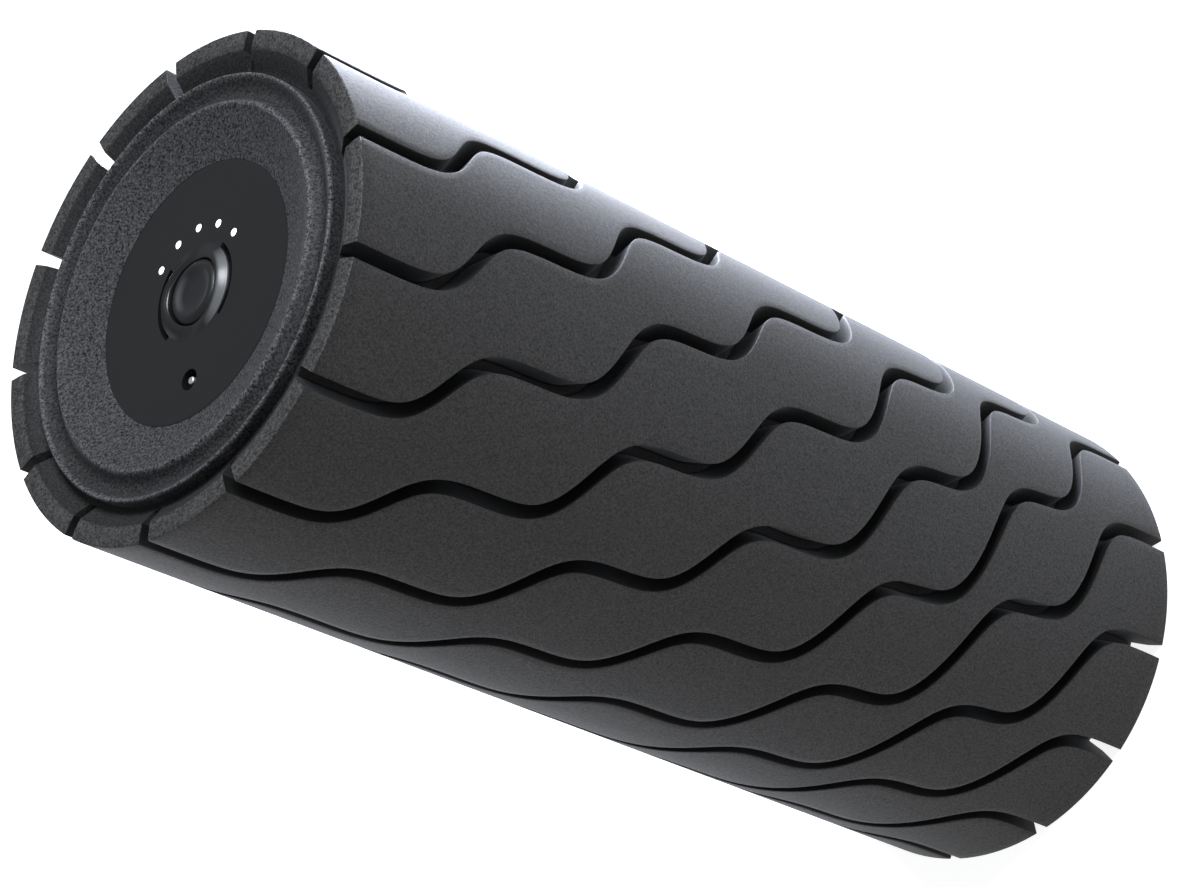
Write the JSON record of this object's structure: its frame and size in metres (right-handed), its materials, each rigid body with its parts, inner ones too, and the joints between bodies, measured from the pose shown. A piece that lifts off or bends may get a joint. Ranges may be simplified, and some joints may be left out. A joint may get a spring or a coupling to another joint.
{
  "type": "foam roller",
  "caption": "Vibrating foam roller: wavy-grooved foam sleeve on a rigid core, with a battery motor that spins eccentric weights and a push-button control panel in one end.",
  "frame": {"origin": "middle of the plain end, on the surface the roller stands on", "axes": "+Z along the roller's axis towards the control panel, +Y towards the panel's row of lights"},
  "size_m": [0.1323, 0.1322, 0.304],
  "materials": {
    "tread_foam": "matte closed-cell foam",
    "ring_foam": "matte granular closed-cell foam",
    "core_plastic": "moulded",
    "panel_plastic": "satin",
    "button_plastic": "satin",
    "light_lens": "translucent white",
    "socket_plastic": "moulded",
    "board": "solder mask",
    "component_plastic": "moulded",
    "led": "gloss",
    "chassis_plastic": "moulded",
    "screw_steel": "zinc plated",
    "steel": "bright",
    "laminated_steel": "stacked sheet",
    "magnet": "ferrite",
    "copper": "enamelled wire",
    "bronze": "sintered",
    "carbon": "pressed carbon",
    "weight_steel": "machined",
    "nickel": "plated",
    "cell_wrap": "shrink film",
    "holder_plastic": "moulded",
    "lead_red": "insulation",
    "lead_black": "insulation"
  },
  "bodies": {
    "roller": {"battery_cell_1": "cell_wrap", "battery_cell_2": "cell_wrap", "battery_cell_3": "cell_wrap", "battery_cell_4": "cell_wrap", "battery_lead_black": "lead_black", "battery_lead_red": "lead_red", "board_screws": "screw_steel", "cell_holder_lower": "holder_plastic", "cell_holder_upper": "holder_plastic", "cell_links_lower": "nickel", "cell_links_upper": "nickel", "chassis_cover": "chassis_plastic", "chassis_screws": "screw_steel", "chassis_tray": "chassis_plastic", "control_board": "board", "control_chip": "component_plastic", "control_housing": "core_plastic", "control_panel": "panel_plastic", "core_screws": "screw_steel", "core_tube": "core_plastic", "end_ring_control": "ring_foam", "end_ring_plain": "ring_foam", "jack_body": "socket_plastic", "jack_contact": "nickel", "jack_pin": "nickel", "light_guides": "light_lens", "motor_bearing_lower": "bronze", "motor_bearing_upper": "bronze", "motor_brushes": "carbon", "motor_can": "steel", "motor_end_bell": "holder_plastic", "motor_lead_black": "lead_black", "motor_lead_red": "lead_red", "motor_magnets": "magnet", "motor_mount_lower": "holder_plastic", "motor_mount_upper": "holder_plastic", "plain_cap": "panel_plastic", "plain_hub": "core_plastic", "protection_board": "board", "status_leds": "led", "switch_body": "component_plastic", "tread_sleeve": "tread_foam"},
    "rotor": {"motor_shaft": "steel", "armature_core": "laminated_steel", "armature_windings": "copper", "commutator": "copper", "eccentric_weight_lower": "weight_steel", "eccentric_weight_upper": "weight_steel", "weight_set_screws": "screw_steel"},
    "button": {"power_button": "button_plastic", "switch_plunger": "component_plastic"}
  },
  "joints": [
    {"name": "rotor_spin", "type": "hinge", "parent": "roller", "child": "rotor", "pos_m": [0, 0, 0.175], "axis": [0, 0, 1], "continuous": true},
    {"name": "button_press", "type": "slide", "parent": "roller", "child": "button", "axis": [0, 0, -1], "range_m": [0, 0.0006], "stiffness_N_per_m": 2500}
  ]
}
